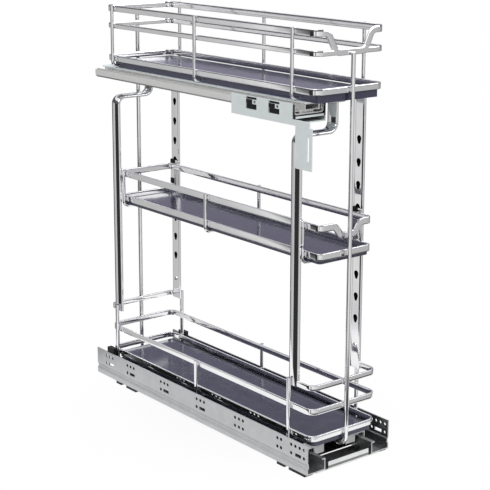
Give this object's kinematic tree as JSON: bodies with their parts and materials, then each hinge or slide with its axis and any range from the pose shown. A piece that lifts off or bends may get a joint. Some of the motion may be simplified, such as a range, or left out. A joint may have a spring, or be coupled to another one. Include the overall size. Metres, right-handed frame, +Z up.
{
  "type": "base cabinet pull-out organizer",
  "caption": "Narrow tall pull-out basket unit for a base cabinet, with chrome rail baskets on flat-tube legs, floor runners and an upper telescopic rail.",
  "frame": {"origin": "on the cabinet floor, under the middle of the base between the two side plates", "axes": "+Z up, +Y to the cabinet's rear, +X to the right of a person facing the front"},
  "size_m": [0.156, 0.533, 0.616],
  "materials": {
    "chrome": "polished chrome plating",
    "galvanized": "bright zinc-plated sheet steel",
    "board": "dark grey laminated board, satin",
    "black_plastic": "black moulded plastic",
    "pale_plastic": "pale acetal plastic"
  },
  "bodies": {
    "base": {"left_base_rail": "galvanized", "right_base_rail": "galvanized", "front_cross_strip": "galvanized", "rear_cross_strip": "galvanized", "floor_pads": "black_plastic", "rear_stop_blocks": "black_plastic", "front_buffer": "black_plastic", "top_channel": "galvanized", "channel_bracket": "galvanized", "channel_sleeve": "black_plastic"},
    "left_floor_slide": {"left_floor_member": "galvanized", "left_floor_glide": "pale_plastic"},
    "right_floor_slide": {"right_floor_member": "galvanized", "right_floor_glide": "pale_plastic"},
    "top_slide": {"top_member": "galvanized", "top_member_glide": "pale_plastic"},
    "carriage": {"left_runner": "galvanized", "right_runner": "galvanized", "left_runner_cap": "pale_plastic", "right_runner_cap": "pale_plastic", "left_runner_glide": "pale_plastic", "right_runner_glide": "pale_plastic", "bottom_board": "board", "bottom_lower_rail": "chrome", "bottom_upper_rail": "chrome", "front_end_hoop": "chrome", "rear_end_hoop": "chrome", "bottom_side_wires": "chrome", "centre_rod": "chrome", "front_near_leg": "chrome", "rear_near_leg": "chrome", "front_far_leg": "chrome", "rear_far_leg": "chrome", "leg_bolts": "chrome", "top_runner": "galvanized", "top_slide_blocks": "pale_plastic", "top_support_plate": "chrome", "top_board": "board", "top_lower_rail": "chrome", "top_middle_rail": "chrome", "top_upper_rail": "chrome", "top_side_wires": "chrome"},
    "shelf": {"shelf_board": "board", "shelf_lower_rail": "chrome", "shelf_upper_rail": "chrome", "shelf_side_wires": "chrome", "shelf_hook_plates": "chrome"}
  },
  "joints": [
    {"name": "carriage_slide", "type": "slide", "parent": "base", "child": "carriage", "axis": [0, -1, 0], "range_m": [0, 0.48]},
    {"name": "left_floor_member_slide", "type": "slide", "parent": "base", "child": "left_floor_slide", "axis": [0, -1, 0], "range_m": [0, 0.24]},
    {"name": "right_floor_member_slide", "type": "slide", "parent": "base", "child": "right_floor_slide", "axis": [0, -1, 0], "range_m": [0, 0.24]},
    {"name": "top_member_slide", "type": "slide", "parent": "base", "child": "top_slide", "axis": [0, -1, 0], "range_m": [0, 0.24]},
    {"name": "shelf_lift", "type": "slide", "parent": "carriage", "child": "shelf", "axis": [0, 0, 1], "range_m": [0, 0.006]}
  ],
  "couplings": [
    {"joint": "left_floor_member_slide", "follows": "carriage_slide", "ratio": 0.5},
    {"joint": "right_floor_member_slide", "follows": "carriage_slide", "ratio": 0.5},
    {"joint": "top_member_slide", "follows": "carriage_slide", "ratio": 0.5}
  ]
}
